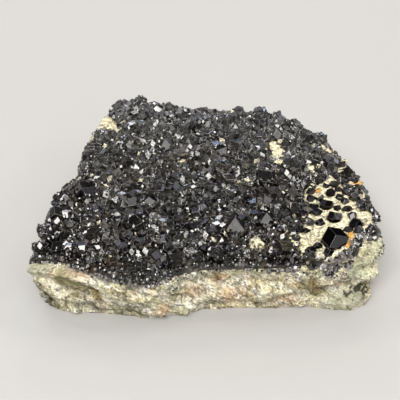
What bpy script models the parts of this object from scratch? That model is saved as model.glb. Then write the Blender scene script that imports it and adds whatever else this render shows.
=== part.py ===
"""A plate of black garnet crystals on a broken slab of pale rock.

The constants are in millimetres, and a mesh is scaled to metres as it is made.
The origin is the middle of the flat underside, +Z is up and the broken front wall looks along -Y.
"""

import math
import random

import bmesh
import bpy
from mathutils import Matrix, Vector, geometry, noise

MM = 0.001

# The slab seen from above, counter-clockwise from the front left corner.
# Each entry is a point of the rim, where the crystals start, and the point of the foot below it.
RIM_AND_FOOT = [
    ((-71, -54), (-67, -55.5)),
    ((-58, -58), (-57, -59)),
    ((-40, -63), (-40, -60.5)),
    ((-22, -65), (-22, -61.5)),
    ((-6, -59), (-6, -59)),
    ((14, -57), (14, -57)),
    ((46, -56), (46, -57)),
    ((63, -50), (64, -57)),
    ((74, -43), (74, -52)),
    ((75, -27), (73, -30)),
    ((73, -8), (71, -8)),
    ((66, 10), (63, 9)),
    ((56, 29), (53, 27)),
    ((46, 39), (43, 36)),
    ((33, 47), (31, 43)),
    ((8, 49), (8, 45)),
    ((-12, 51), (-12, 47)),
    ((-32, 56), (-30, 51)),
    ((-42, 50), (-38, 47)),
    ((-49, 32), (-45, 31)),
    ((-54, 16), (-50, 16)),
    ((-54, 2), (-51, 2)),
    ((-62, -9), (-58, -9)),
    ((-67, -30), (-61, -30)),
]
EDGE_STEP = 6.0
EDGE_ROUGHNESS = 0.9

# The bed that the crystals grew on: its usual height, then swells and dips as (x, y, radius, rise).
SLAB_HEIGHT = 24.0
SWELLS = [
    (78, -46, 24, 5.5),
    (-30, -67, 15, -5.0),
    (-68, -48, 18, -2.0),
    (2, -8, 42, 1.6),
    (-30, 40, 20, 1.0),
]
BED_RIPPLE = 0.8
RIPPLE_LENGTH = 24.0
LATTICE = 9.0
LATTICE_DRIFT = 0.35

# The broken wall: share of the way down, how far it bulges, and how rough it is.
WALL_LEVELS = [
    (0.07, 0.4, 0.25), (0.22, 1.4, 0.8), (0.38, 0.6, 1.0), (0.54, 1.5, 1.0),
    (0.7, 0.4, 1.0), (0.86, 0.6, 0.8), (1.0, -0.8, 0.3),
]
# The wall breaks in blocks, each this wide and high, that stand out by up to BLOCK_STEP.
BLOCK_WIDTH = 13.0
BLOCK_HEIGHT = 7.0
BLOCK_STEP = 3.4
WALL_GRAIN = 5.0
GRAIN_DEPTH = 3.0

# Flat breaks in the wall, each as a point, the normal of the new face and how far it reaches.
BREAKS = [
    ((-69.5, -52, 7.5), (-0.75, -0.5, -0.42), 19),
    ((-40, -61, 7), (-0.1, -0.93, -0.35), 15),
    ((8, -56, 13), (0.12, -0.96, 0.22), 16),
    ((38, -57, 8), (0.05, -0.95, -0.3), 13),
    ((75, -48, 7), (0.82, -0.5, -0.3), 14),
    ((74, -18, 12), (0.97, 0.05, 0.2), 14),
    ((68, 4, 8), (0.85, 0.42, -0.3), 15),
    ((50, 33, 10), (0.66, 0.68, -0.3), 15),
    ((14, 47, 10), (0.05, 0.97, -0.22), 14),
    ((-30, 53, 8), (-0.3, 0.9, -0.3), 13),
    ((-46, 38, 9), (-0.9, 0.3, -0.3), 12),
    ((-55, -2, 9), (-0.93, 0.25, -0.25), 14),
    ((-64, -24, 12), (-0.95, 0.2, 0.2), 13),
]
BREAK_DEPTH = 4.0
# A break only planes off a side that faces it, by at least this share.
BREAK_FACING = 0.35

# Knobs of bare rock that stand up through the crust, as outlines seen from above.
KNOBS = [
    [(43, -49), (43, -38), (49, -30), (48, -19), (52, -7), (60, -8), (62, -19),
     (68.5, -27), (68.5, -41), (62, -46), (54, -50)],
    [(28, 23), (32, 16), (30, 9), (36, 9), (38, 17), (35, 25)],
    [(19, -41), (23, -50), (28, -45), (25, -37)],
    [(14, -9), (17, -4), (23, -5), (21, -10)],
]
KNOB_RISE = 2.8
KNOB_SLOPE = 1.2

# The crust of garnets: a thin ground of intergrown crystals, with the larger ones standing out of it.
SEAT_GAP = 0.35
KNOB_GAP = 0.45
CRUST_INSET = 0.7
CRUST_EDGE_SLOPE = 1.0
CRUST_EDGE_HEIGHT = 1.5
CRUST_GROUND = 1.9
CRUST_JITTER = 0.55
CRUST_ROOT = 1.5
CRUST_LATTICE = 7.5
# Places at the edge where the crust has broken away, as (x, y, radius).
CRUST_BREAKS = [(-47.5, 38, 8.5), (-55, 22, 5), (-57, -2, 4.5), (0, -61, 3.5)]
# Along the front left the crust stops short of the rim: the width of the bare ledge there, as (x, width).
LEDGE = [(-73, 4.0), (-66, 5.5), (-48, 6.0), (-38, 4.0), (-26, 3.0), (-16, 0.0)]
LEDGE_FRONT = -45

# The largest garnets in the crust, as (x, y, size across two opposite faces).
LARGE_GARNETS = [
    (14.5, -36, 10.5), (29, -5, 10.0), (35, -48, 8.5), (-26, -34, 10.0), (-49, -13, 11.5),
    (-15, 18, 9.0), (28, -31, 8.0), (7, -51, 7.0), (-2, 31, 7.5), (-21, -20, 8.0),
    (40, -14, 7.0), (-4, -36, 6.5), (-44, -39, 7.0), (64, 0, 7.0), (40, 5, 7.5),
    (-33, 6, 8.0), (10, 14, 7.5), (-60, -43, 6.5), (49, 24, 6.5), (-10, -53, 6.5),
]
MEDIUM_GARNETS = 140
MEDIUM_SIZES = (6.8, 4.8)
# Each garnet takes the roomiest of this many random places, so that they spread evenly.
PLACES_TRIED = 10
# How far a garnet's centre stays from the crust's edge and from a knob, as shares of its size.
EDGE_CLEARANCE = 0.3
KNOB_CLEARANCE = 0.45
GARNET_SEED = 11

# Garnets that sit alone in the bare rock of the large knob, as (name, x, y, size).
LONE_GARNETS = [
    ("garnet_largest", 55.4, -42.7, 9.6),
    ("garnet_right", 65.0, -34.8, 5.2),
    ("garnet_middle", 56.6, -29.2, 5.4),
    ("garnet_left", 54.0, -20.6, 5.0),
    ("garnet_upper", 56.4, -12.6, 3.8),
]
LONE_RISE = -0.14

ROCK_COLOUR = (0.46, 0.41, 0.29, 1.0)
GARNET_COLOUR = (0.018, 0.018, 0.02, 1.0)


def clear_scene():
    for obj in list(bpy.data.objects):
        bpy.data.objects.remove(obj)


def finish(name, colour, roughness):
    """A Principled material."""
    made = bpy.data.materials.new(name)
    made.use_nodes = True
    shader = made.node_tree.nodes["Principled BSDF"]
    shader.inputs["Base Color"].default_value = colour
    shader.inputs["Roughness"].default_value = roughness
    return made


def add_object(name, bm, material):
    """The bmesh, which is in millimetres, as an object in metres."""
    bmesh.ops.scale(bm, vec=(MM, MM, MM), verts=bm.verts)
    mesh = bpy.data.meshes.new(name)
    bm.to_mesh(mesh)
    bm.free()
    mesh.materials.append(material)
    obj = bpy.data.objects.new(name, mesh)
    bpy.context.scene.collection.objects.link(obj)
    return obj


def as_helper(obj):
    """Keeps a cutter out of the finished part."""
    obj.hide_render = True
    obj.display_type = "WIRE"
    return obj


def add_boolean(obj, other, operation, merge_overlaps=False):
    """Cuts or joins obj with other; merge_overlaps is for an other whose shapes run into each other."""
    modifier = obj.modifiers.new(operation.lower(), "BOOLEAN")
    modifier.operation = operation
    modifier.object = other
    modifier.solver = "EXACT"
    modifier.use_self = merge_overlaps


def outward(loop, i):
    """The direction that points out of a counter-clockwise loop at its point i."""
    along = loop[(i + 1) % len(loop)] - loop[i - 1]
    return Vector((along.y, -along.x)).normalized()


def offset_loop(loop, distance):
    return [point + outward(loop, i) * distance for i, point in enumerate(loop)]


def distance_to_loop(point, loop):
    nearest = math.inf
    for a, b in zip(loop, loop[1:] + loop[:1]):
        on_line, share = geometry.intersect_point_line(point, a, b)
        end = a.lerp(b, min(1.0, max(0.0, share)))
        nearest = min(nearest, (point - end).length)
    return nearest


def is_inside(point, loop):
    """Counts how many edges a ray along +X crosses."""
    crossings = 0
    for a, b in zip(loop, loop[1:] + loop[:1]):
        if (a.y > point.y) != (b.y > point.y):
            x = a.x + (point.y - a.y) / (b.y - a.y) * (b.x - a.x)
            crossings += x > point.x
    return crossings % 2 == 1


def rough_edge(point, loop_seed):
    return EDGE_ROUGHNESS * noise.noise(Vector((point.x / 5, point.y / 5, loop_seed)))


def divided(points, step, loop_seed):
    """A closed outline with a point every step, roughened as a broken edge is."""
    corners = [Vector(p) for p in points]
    loop = []
    for a, b in zip(corners, corners[1:] + corners[:1]):
        steps = max(1, round((b - a).length / step))
        loop += [a.lerp(b, i / steps) for i in range(steps)]
    return [p + outward(loop, i) * rough_edge(p, loop_seed) for i, p in enumerate(loop)]


def rim_and_foot():
    """The rim and the foot, point for point."""
    rim, foot = [], []
    ends = RIM_AND_FOOT[1:] + RIM_AND_FOOT[:1]
    for (rim_a, foot_a), (rim_b, foot_b) in zip(RIM_AND_FOOT, ends):
        steps = max(1, round((Vector(rim_b) - Vector(rim_a)).length / EDGE_STEP))
        for i in range(steps):
            rim.append(Vector(rim_a).lerp(Vector(rim_b), i / steps))
            foot.append(Vector(foot_a).lerp(Vector(foot_b), i / steps))
    roughened = [p + outward(rim, i) * rough_edge(p, 0.3) for i, p in enumerate(rim)]
    return roughened, foot


def bed_height(x, y):
    """Height of the rock that the crystals stand on."""
    height = SLAB_HEIGHT
    for centre_x, centre_y, radius, rise in SWELLS:
        distance = math.hypot(x - centre_x, y - centre_y)
        height += rise * math.exp(-((distance / radius) ** 2))
    ripple = noise.noise(Vector((x / RIPPLE_LENGTH, y / RIPPLE_LENGTH, 2.6)))
    return height + BED_RIPPLE * ripple


def lattice_points(loops, spacing):
    """Points of a triangular lattice inside the first loop and clear of every loop's edges."""
    outer = loops[0]
    low_x, high_x = min(p.x for p in outer), max(p.x for p in outer)
    low_y, high_y = min(p.y for p in outer), max(p.y for p in outer)
    row_step = spacing * math.sqrt(3) / 2
    found = []
    for row in range(math.floor(low_y / row_step), math.ceil(high_y / row_step) + 1):
        for column in range(math.floor(low_x / spacing) - 1, math.ceil(high_x / spacing) + 1):
            x = (column + 0.5 * (row % 2)) * spacing
            y = row * row_step
            drift_x = noise.noise(Vector((x / 7, y / 7, 4.1)))
            drift_y = noise.noise(Vector((x / 7, y / 7, 9.3)))
            point = Vector((x, y)) + Vector((drift_x, drift_y)) * spacing * LATTICE_DRIFT
            if not is_inside(point, outer):
                continue
            if min(distance_to_loop(point, loop) for loop in loops) > spacing * 0.42:
                found.append(point)
    return found


def triangulate(loops, inner_points):
    """Triangles that keep every loop's edges: (points, triangles)."""
    points, edges = [], []
    for loop in loops:
        first = len(points)
        points += loop
        edges += [(first + i, first + (i + 1) % len(loop)) for i in range(len(loop))]
    points += inner_points
    found = geometry.delaunay_2d_cdt(points, edges, [], 1, 1e-5)
    return found[0], found[2]


def knob_loops(grow):
    """The foot and the top edge of each knob, swollen by grow."""
    feet = [offset_loop(divided(knob, 5.0, 1.9), grow) for knob in KNOBS]
    return feet, [offset_loop(foot, -KNOB_SLOPE) for foot in feet]


def bed_sheet(bm, apron, lift, grow):
    """The rock's upper surface and its knobs, out to apron beyond the rim; gives its edge in order."""
    rim, _ = rim_and_foot()
    feet, tops = knob_loops(grow)
    plain_feet, plain_tops = knob_loops(0)
    loops = [rim, *feet, *tops]
    keep_clear_of = [rim, *plain_feet, *plain_tops]
    if apron:
        loops.insert(0, offset_loop(rim, apron))
        keep_clear_of.insert(0, loops[0])
    points, triangles = triangulate(loops, lattice_points(keep_clear_of, LATTICE))
    verts = []
    for point in points:
        on_top = any(is_inside(point, top) or distance_to_loop(point, top) < 0.01 for top in tops)
        height = bed_height(point.x, point.y) + lift + (KNOB_RISE if on_top else 0)
        verts.append(bm.verts.new((point.x, point.y, height)))
    for triangle in triangles:
        bm.faces.new([verts[i] for i in triangle])
    return verts[: len(loops[0])]


def add_ring(bm, above, places):
    """A ring of wall below the ring above."""
    ring = [bm.verts.new(place) for place in places]
    for i in range(len(ring)):
        j = (i + 1) % len(ring)
        bm.faces.new((above[i], ring[i], ring[j], above[j]))
    return ring


def planed(place, out):
    """Draws a point of the wall in until it's behind the flat breaks near it."""
    for centre, normal, reach in BREAKS:
        centre, normal = Vector(centre), Vector(normal).normalized()
        beyond = (place - centre).dot(normal)
        facing = out.dot(normal)
        if beyond > 0 and facing > BREAK_FACING and (place - centre).length < reach:
            place = place - out * min(BREAK_DEPTH, beyond / facing)
    return place


def wall_relief(x, y, z):
    """How far the broken wall stands out: flat-faced blocks, with a finer grain on them."""
    block = noise.cell(Vector((x / BLOCK_WIDTH, y / BLOCK_WIDTH, z / BLOCK_HEIGHT)))
    grain = noise.noise(Vector((x, y, z)) / WALL_GRAIN)
    return BLOCK_STEP * (block - 0.5) + GRAIN_DEPTH * grain


def rock_matrix(material):
    """The slab: the bed on top, a wall broken all round, and a flat underside."""
    bm = bmesh.new()
    rim, foot = rim_and_foot()
    ring = bed_sheet(bm, apron=0, lift=0, grow=0)
    tops = [vert.co.copy() for vert in ring]
    for share, bulge, roughness in WALL_LEVELS:
        places = []
        for i, top in enumerate(tops):
            flat = rim[i].lerp(foot[i], share)
            height = top.z * (1 - share)
            out = outward(rim, i).to_3d()
            place = flat.to_3d() + Vector((0, 0, height))
            place += out * (bulge + roughness * wall_relief(*place))
            places.append(planed(place, out))
        ring = add_ring(bm, ring, places)
    bm.faces.new(reversed(ring))
    bmesh.ops.triangulate(bm, faces=bm.faces)
    return add_object("matrix", bm, material)


def ledge_width(x):
    """How far behind the front rim the crust starts."""
    for (left, wide), (right, narrow) in zip(LEDGE, LEDGE[1:]):
        if left <= x <= right:
            return wide + (narrow - wide) * (x - left) / (right - left)
    return 0.0


def crust_outline():
    """The crust's edge, just inside the rim and drawn in where a piece has broken away."""
    rim, _ = rim_and_foot()
    loop = []
    for point in offset_loop(rim, -CRUST_INSET):
        if point.y < LEDGE_FRONT:
            point = point + Vector((0, ledge_width(point.x)))
        for x, y, radius in CRUST_BREAKS:
            away = point - Vector((x, y))
            if away.length < radius:
                into_slab = (Vector((0, 0)) - Vector((x, y))).normalized()
                point = Vector((x, y)) + (away + into_slab * radius).normalized() * radius
        loop.append(point)
    return loop


def crust_ground(material):
    """The ground of small intergrown crystals, from below the bed's surface to a jagged top."""
    bm = bmesh.new()
    outline = crust_outline()
    points, triangles = triangulate([outline], lattice_points([outline], CRUST_LATTICE))
    verts = [bm.verts.new((p.x, p.y, bed_height(p.x, p.y) - CRUST_ROOT)) for p in points]
    faces = [bm.faces.new([verts[i] for i in triangle]) for triangle in triangles]
    edge_directions = [outward(outline, i) for i in range(len(outline))]
    bmesh.ops.reverse_faces(bm, faces=faces)
    raised = bmesh.ops.extrude_face_region(bm, geom=faces, use_keep_orig=True)
    upper = [item for item in raised["geom"] if isinstance(item, bmesh.types.BMVert)]
    jitter = random.Random(GARNET_SEED)
    for vert in sorted(upper, key=lambda v: (v.co.x, v.co.y)):
        bed = vert.co.z + CRUST_ROOT
        on_edge = min(range(len(outline)), key=lambda i: (vert.co.xy - outline[i]).length)
        if (vert.co.xy - outline[on_edge]).length < 0.01:
            vert.co.xy -= edge_directions[on_edge] * CRUST_EDGE_SLOPE
            vert.co.z = bed + CRUST_EDGE_HEIGHT
        else:
            vert.co.z = bed + CRUST_GROUND + jitter.uniform(-CRUST_JITTER, CRUST_JITTER)
    bmesh.ops.recalc_face_normals(bm, faces=bm.faces)
    return add_object("garnet_crust", bm, material)


def add_garnet(bm, across, centre, turn):
    """A rhombic dodecahedron, the garnet's own form: a cube with a low pyramid on each face."""
    side = across / math.sqrt(2)
    made = bmesh.ops.create_cube(bm, size=side)
    faces = list({face for vert in made["verts"] for face in vert.link_faces})
    poked = bmesh.ops.poke(bm, faces=faces, offset=side / 2)
    verts = made["verts"] + poked["verts"]
    edges = list({edge for vert in verts for edge in vert.link_edges})
    bmesh.ops.dissolve_limit(bm, angle_limit=math.radians(1), verts=verts, edges=edges)
    bmesh.ops.transform(bm, matrix=Matrix.Translation(centre) @ turn.to_matrix().to_4x4(), verts=verts)


def random_turn(chance):
    """A turn about a random axis."""
    axis = Vector([chance.gauss(0, 1) for _ in range(3)]).normalized()
    return Matrix.Rotation(chance.uniform(0, 2 * math.pi), 3, axis).to_quaternion()


def crust_garnets():
    """Every garnet that stands out of the crust, as (x, y, size), the large ones first."""
    outline = crust_outline()
    feet, _ = knob_loops(0)
    chance = random.Random(GARNET_SEED)
    low = Vector((min(p.x for p in outline), min(p.y for p in outline)))
    high = Vector((max(p.x for p in outline), max(p.y for p in outline)))
    placed = list(LARGE_GARNETS)
    large, small = MEDIUM_SIZES
    for number in range(MEDIUM_GARNETS):
        size = large + (small - large) * math.sqrt(number / MEDIUM_GARNETS)
        best_room, best = -math.inf, None
        tried = 0
        while tried < PLACES_TRIED:
            spot = Vector((chance.uniform(low.x, high.x), chance.uniform(low.y, high.y)))
            if not is_inside(spot, outline) or distance_to_loop(spot, outline) < EDGE_CLEARANCE * size:
                continue
            to_knobs = min(0 if is_inside(spot, foot) else distance_to_loop(spot, foot) for foot in feet)
            if to_knobs < KNOB_CLEARANCE * size:
                continue
            tried += 1
            room = min(math.hypot(spot.x - x, spot.y - y) - (size + other) / 2 for x, y, other in placed)
            if room > best_room:
                best_room, best = room, spot
        placed.append((best.x, best.y, size))
    return placed


def garnet_height(x, y, size):
    """Height of a garnet's centre: the larger it is, the deeper its share in the crust."""
    return bed_height(x, y) + CRUST_GROUND + 0.5 - 0.08 * size


def standing_garnets(material):
    """All the crust's larger garnets in one mesh, which the crust is joined with."""
    bm = bmesh.new()
    chance = random.Random(GARNET_SEED + 1)
    for x, y, size in crust_garnets():
        add_garnet(bm, size, Vector((x, y, garnet_height(x, y, size))), random_turn(chance))
    return as_helper(add_object("garnets_to_join", bm, material))


def bed_cutter(material):
    """The space below the crust: the bed and its knobs, swollen by the gap between rock and crust."""
    bm = bmesh.new()
    ring = bed_sheet(bm, apron=9, lift=SEAT_GAP, grow=KNOB_GAP)
    ring = add_ring(bm, ring, [(vert.co.x, vert.co.y, 0) for vert in ring])
    bm.faces.new(reversed(ring))
    return as_helper(add_object("bed_cutter", bm, material))


def lone_garnet_place(x, y, size):
    return Vector((x, y, bed_height(x, y) + KNOB_RISE + LONE_RISE * size))


def lone_garnets(material):
    """The garnets that sit alone, each in its own pocket of the rock; also the cutter of those pockets."""
    chance = random.Random(GARNET_SEED + 2)
    pockets = bmesh.new()
    for name, x, y, size in LONE_GARNETS:
        turn = random_turn(chance)
        centre = lone_garnet_place(x, y, size)
        bm = bmesh.new()
        add_garnet(bm, size, centre, turn)
        add_object(name, bm, material)
        add_garnet(pockets, size + 2 * SEAT_GAP, centre, turn)
    return as_helper(add_object("garnet_pockets", pockets, material))


def main():
    clear_scene()
    rock = finish("pale rock", ROCK_COLOUR, 0.85)
    garnet = finish("black garnet", GARNET_COLOUR, 0.2)
    matrix = rock_matrix(rock)
    add_boolean(matrix, lone_garnets(garnet), "DIFFERENCE")
    crust = crust_ground(garnet)
    add_boolean(crust, standing_garnets(garnet), "UNION", merge_overlaps=True)
    add_boolean(crust, bed_cutter(rock), "DIFFERENCE")


main()
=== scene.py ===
# %% [markdown]
# # A plate of black garnets on pale rock
# The stone is a slab broken from a rock face. Black garnets grew over its bed as a crust, and at the
# right the bare rock stands through them. The frame holds the real sizes as plain solids: this script
# dresses each of them with the surface that the stone has. The box is measured first, and the rock's
# points are kept inside its sides and above its floor. The box is measured first, because the
# finished stone has to stay inside it.

# %% The frame
import math
import random

import bmesh
import bpy
import numpy as np
from mathutils import Matrix, Vector, noise
from mathutils.bvhtree import BVHTree
from mathutils.kdtree import KDTree


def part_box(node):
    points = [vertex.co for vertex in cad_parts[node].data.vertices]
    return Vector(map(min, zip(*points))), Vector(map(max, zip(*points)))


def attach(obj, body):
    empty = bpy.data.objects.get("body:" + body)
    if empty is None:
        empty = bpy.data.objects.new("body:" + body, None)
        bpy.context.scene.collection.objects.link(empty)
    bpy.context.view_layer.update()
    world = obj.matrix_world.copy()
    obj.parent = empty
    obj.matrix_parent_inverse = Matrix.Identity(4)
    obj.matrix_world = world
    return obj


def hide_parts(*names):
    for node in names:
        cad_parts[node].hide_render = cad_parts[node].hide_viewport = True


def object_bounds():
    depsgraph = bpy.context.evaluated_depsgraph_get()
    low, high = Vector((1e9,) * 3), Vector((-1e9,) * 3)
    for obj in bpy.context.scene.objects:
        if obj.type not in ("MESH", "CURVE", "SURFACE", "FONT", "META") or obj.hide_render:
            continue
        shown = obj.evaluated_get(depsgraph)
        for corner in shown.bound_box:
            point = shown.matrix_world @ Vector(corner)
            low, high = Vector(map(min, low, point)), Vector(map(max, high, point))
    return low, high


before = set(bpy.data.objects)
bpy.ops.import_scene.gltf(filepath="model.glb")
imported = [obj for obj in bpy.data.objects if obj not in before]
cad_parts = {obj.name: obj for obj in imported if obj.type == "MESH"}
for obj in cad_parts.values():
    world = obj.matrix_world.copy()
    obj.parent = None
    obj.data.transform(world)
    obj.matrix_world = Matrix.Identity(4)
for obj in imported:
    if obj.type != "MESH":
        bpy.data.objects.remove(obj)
CAD_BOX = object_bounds()
MM = 0.001
print("CAD box in mm:", [[round(c / MM, 1) for c in corner] for corner in CAD_BOX])

# %% [markdown]
# ## The view
# The stone is seen from in front and above, as one looks at it on a table. A narrow field of view from half
# a metre keeps the slab's sides nearly parallel. The picture is square.

# %% The camera
VIEW_ELEVATION = math.radians(42)
VIEW_DISTANCE = 0.51
VIEW_ANGLE = math.radians(20)
VIEW_TARGET = Vector((0, 0, 0.012))


def add_camera():
    lens = bpy.data.cameras.new("camera")
    lens.angle = VIEW_ANGLE
    camera = bpy.data.objects.new("camera", lens)
    bpy.context.scene.collection.objects.link(camera)
    back = Vector((0, -math.cos(VIEW_ELEVATION), math.sin(VIEW_ELEVATION)))
    camera.location = VIEW_TARGET + back * VIEW_DISTANCE
    camera.rotation_euler = back.to_track_quat("Z", "Y").to_euler()
    bpy.context.scene.camera = camera
    return camera


print("camera at", add_camera().location)

# %% [markdown]
# ## Light
# Crystal faces are small mirrors: each shows black, grey or white by what stands opposite to it. So the
# surround is like a studio hung with cards, most of them dark, some grey and a few pale, and each face picks up
# one of them. A few small bright panels, which cover little of the sky, give the sparkles, and two of them are
# tinted, for the blue and the straw-coloured glints. The key light stands high in front, a little to the
# left, to bring out the grain of the rock.

# %% Lights and surround
SURROUND_COOL, SURROUND_WARM = (0.62, 0.72, 1.0, 1.0), (1.0, 0.88, 0.7, 1.0)
SURROUND_CARDS = 4.0
SURROUND_DARK = 0.045
SURROUND_PALE = 3.4
SURROUND_POWER = 4.8

# Each panel: name, place in metres, width and height, brightness of its face, colour.
PANELS = [
    ("key", (-0.25, -0.8, 1.2), (0.8, 0.6), 12.0, (1.0, 0.975, 0.93)),
    ("fill", (0.7, -0.8, 0.5), (0.6, 0.45), 2.4, (1.0, 0.97, 0.92)),
    ("back_left", (-0.55, 0.85, 0.75), (0.2, 0.16), 9.0, (1.0, 0.98, 0.94)),
    ("back_right", (0.6, 0.9, 0.6), (0.16, 0.2), 9.0, (1.0, 0.97, 0.9)),
    ("right", (1.0, 0.1, 0.75), (0.16, 0.2), 12.0, (1.0, 0.95, 0.86)),
    ("left", (-1.05, 0.1, 0.6), (0.16, 0.2), 12.0, (0.95, 0.97, 1.0)),
    ("low_back", (0.05, 1.2, 0.32), (0.22, 0.12), 9.0, (1.0, 0.98, 0.96)),
    ("straw", (0.3, 0.8, 0.95), (0.13, 0.13), 24.0, (1.0, 0.86, 0.55)),
    ("straw_left", (-0.45, 0.6, 0.9), (0.12, 0.12), 24.0, (1.0, 0.88, 0.6)),
    ("sky", (-0.2, 0.75, 1.0), (0.12, 0.12), 14.0, (0.55, 0.7, 1.0)),
    ("spark_left", (-0.7, 0.4, 0.95), (0.1, 0.1), 27.0, (1.0, 0.99, 0.96)),
    ("spark_right", (0.7, 0.35, 0.95), (0.1, 0.1), 27.0, (1.0, 0.98, 0.94)),
    ("spark_top", (0.1, 0.2, 1.2), (0.1, 0.1), 27.0, (1.0, 0.98, 0.94)),
    ("spark_front", (0.35, -0.45, 1.1), (0.1, 0.1), 27.0, (1.0, 0.98, 0.94)),
    ("spark_back", (0.0, 0.95, 0.6), (0.1, 0.1), 27.0, (1.0, 0.97, 0.9)),
]


def add_panel(name, place, size, brightness, colour):
    """An area light; its power follows from the brightness that its face should show."""
    light = bpy.data.lights.new(name, "AREA")
    light.shape = "RECTANGLE"
    light.size, light.size_y = size
    light.energy = brightness * math.pi * size[0] * size[1]
    light.color = colour
    panel = bpy.data.objects.new(name, light)
    bpy.context.scene.collection.objects.link(panel)
    panel.location = place
    panel.rotation_euler = Vector(place).to_track_quat("Z", "Y").to_euler()


def add_surround():
    """A world of cards: one brightness and one tint, cool or warm, for each cell of the directions."""
    world = bpy.data.worlds.new("surround")
    world.use_nodes = True
    nodes, links = world.node_tree.nodes, world.node_tree.links
    direction = nodes.new("ShaderNodeTexCoord").outputs["Generated"]
    cards = nodes.new("ShaderNodeTexVoronoi")
    cards.inputs["Scale"].default_value = SURROUND_CARDS
    links.new(direction, cards.inputs["Vector"])
    split = nodes.new("ShaderNodeSeparateColor")
    links.new(cards.outputs["Color"], split.inputs[0])
    steep = nodes.new("ShaderNodeMath")
    steep.operation = "POWER"
    links.new(split.outputs[0], steep.inputs[0])
    steep.inputs[1].default_value = SURROUND_POWER
    level = nodes.new("ShaderNodeMapRange")
    links.new(steep.outputs[0], level.inputs["Value"])
    level.inputs["To Min"].default_value = SURROUND_DARK
    level.inputs["To Max"].default_value = SURROUND_PALE
    background = nodes["Background"]
    tint = nodes.new("ShaderNodeMix")
    tint.data_type = "RGBA"
    links.new(split.outputs[1], tint.inputs[0])
    tint.inputs[6].default_value = SURROUND_COOL
    tint.inputs[7].default_value = SURROUND_WARM
    links.new(tint.outputs[2], background.inputs["Color"])
    links.new(level.outputs["Result"], background.inputs["Strength"])
    bpy.context.scene.world = world


for panel in PANELS:
    add_panel(*panel)
add_surround()
bpy.context.scene.view_settings.view_transform = "Standard"
print("panels:", len(PANELS))

# %% [markdown]
# ## Small helpers for materials
# Every finish here is a Principled BSDF fed by noise on Object coordinates, so a pattern stays on the
# stone from any side. Colours are written as they look on a screen, 0 to 255, and are turned into
# the linear values that a shader wants.


# %% Material helpers
def colour(red, green, blue):
    """A screen colour as linear light, with alpha."""
    return tuple((c / 255) ** 2.2 for c in (red, green, blue)) + (1.0,)


class Finish:
    """A material, with short ways to add nodes and to link them."""

    def __init__(self, name):
        self.material = bpy.data.materials.new(name)
        self.material.use_nodes = True
        self.tree = self.material.node_tree
        self.shader = self.tree.nodes["Principled BSDF"]
        self.place = self.tree.nodes.new("ShaderNodeTexCoord").outputs["Object"]

    def node(self, kind, inputs=(), **settings):
        made = self.tree.nodes.new("ShaderNode" + kind)
        for key, value in settings.items():
            setattr(made, key, value)
        for key, value in dict(inputs).items():
            if isinstance(value, bpy.types.NodeSocket):
                self.tree.links.new(value, made.inputs[key])
            else:
                made.inputs[key].default_value = value
        return made

    def attribute(self, name):
        return self.node("Attribute", attribute_name=name).outputs["Fac"]

    def link(self, source, socket):
        self.tree.links.new(source, self.shader.inputs[socket])

    def noise(self, scale, detail=4.0, roughness=0.55, place=None):
        inputs = {"Vector": place or self.place, "Scale": scale, "Detail": detail, "Roughness": roughness}
        return self.node("TexNoise", inputs).outputs["Fac"]

    def cells(self, scale, place=None):
        return self.node("TexVoronoi", {"Vector": place or self.place, "Scale": scale}).outputs

    def ramp(self, value, low, high, to_low=0.0, to_high=1.0):
        inputs = {"Value": value, "From Min": low, "From Max": high, "To Min": to_low, "To Max": to_high}
        return self.node("MapRange", inputs).outputs["Result"]

    def maths(self, operation, a, b):
        return self.node("Math", {0: a, 1: b}, operation=operation, use_clamp=False).outputs[0]

    def times(self, a, b):
        return self.maths("MULTIPLY", a, b)

    def blend(self, share, a, b):
        """Colour a where share is 0, colour b where it is 1."""
        made = self.tree.nodes.new("ShaderNodeMix")
        made.data_type = "RGBA"
        for index, value in ((0, share), (6, a), (7, b)):
            if isinstance(value, bpy.types.NodeSocket):
                self.tree.links.new(value, made.inputs[index])
            else:
                made.inputs[index].default_value = value
        return made.outputs[2]

    def shifted(self, size, scale):
        """Object coordinates pushed about by noise, to fray the edges of patches."""
        swirl = self.node("TexNoise", {"Vector": self.place, "Scale": scale, "Detail": 3.0}).outputs["Color"]
        centred = self.node("VectorMath", {0: swirl, 1: (0.5, 0.5, 0.5)}, operation="SUBTRACT").outputs[0]
        push = self.node("VectorMath", {0: centred, "Scale": size}, operation="SCALE").outputs[0]
        return self.node("VectorMath", {0: self.place, 1: push}, operation="ADD").outputs[0]

    def streaks(self, place, tilt, length):
        """Coordinates that draw a pattern out along a line which slopes down to the right, seen from in front."""
        inputs = {"Vector": place, "Rotation": (0.0, tilt, 0.0), "Scale": (length, 1.0, 1.0)}
        return self.node("Mapping", inputs, vector_type="TEXTURE").outputs[0]

    def patches(self, place, spots, edge=0.35):
        """1 inside any of the spots, each a centre and three radii in millimetres, and 0 outside."""
        total = None
        for centre, radii in spots:
            middle = tuple(c * MM for c in centre)
            reach = tuple(r * MM for r in radii)
            offset = self.node("VectorMath", {0: place, 1: middle}, operation="SUBTRACT").outputs[0]
            scaled = self.node("VectorMath", {0: offset, 1: reach}, operation="DIVIDE").outputs[0]
            away = self.node("VectorMath", {0: scaled}, operation="LENGTH").outputs["Value"]
            inside = self.ramp(away, 1.0 + edge, 1.0 - edge)
            total = inside if total is None else self.maths("MAXIMUM", total, inside)
        return total

    def bump(self, height, strength, distance):
        made = self.node("Bump", {"Height": height, "Strength": strength, "Distance": distance})
        self.tree.links.new(made.outputs["Normal"], self.shader.inputs["Normal"])


# %% [markdown]
# ## Where the bare rock shows through
# The crust has gaps: at the right the pale rock stands bare, and smaller cream spots are spread over the
# rest. Both the colours and the crystals need these places, so they are listed once, in millimetres
# as seen from above.

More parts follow.
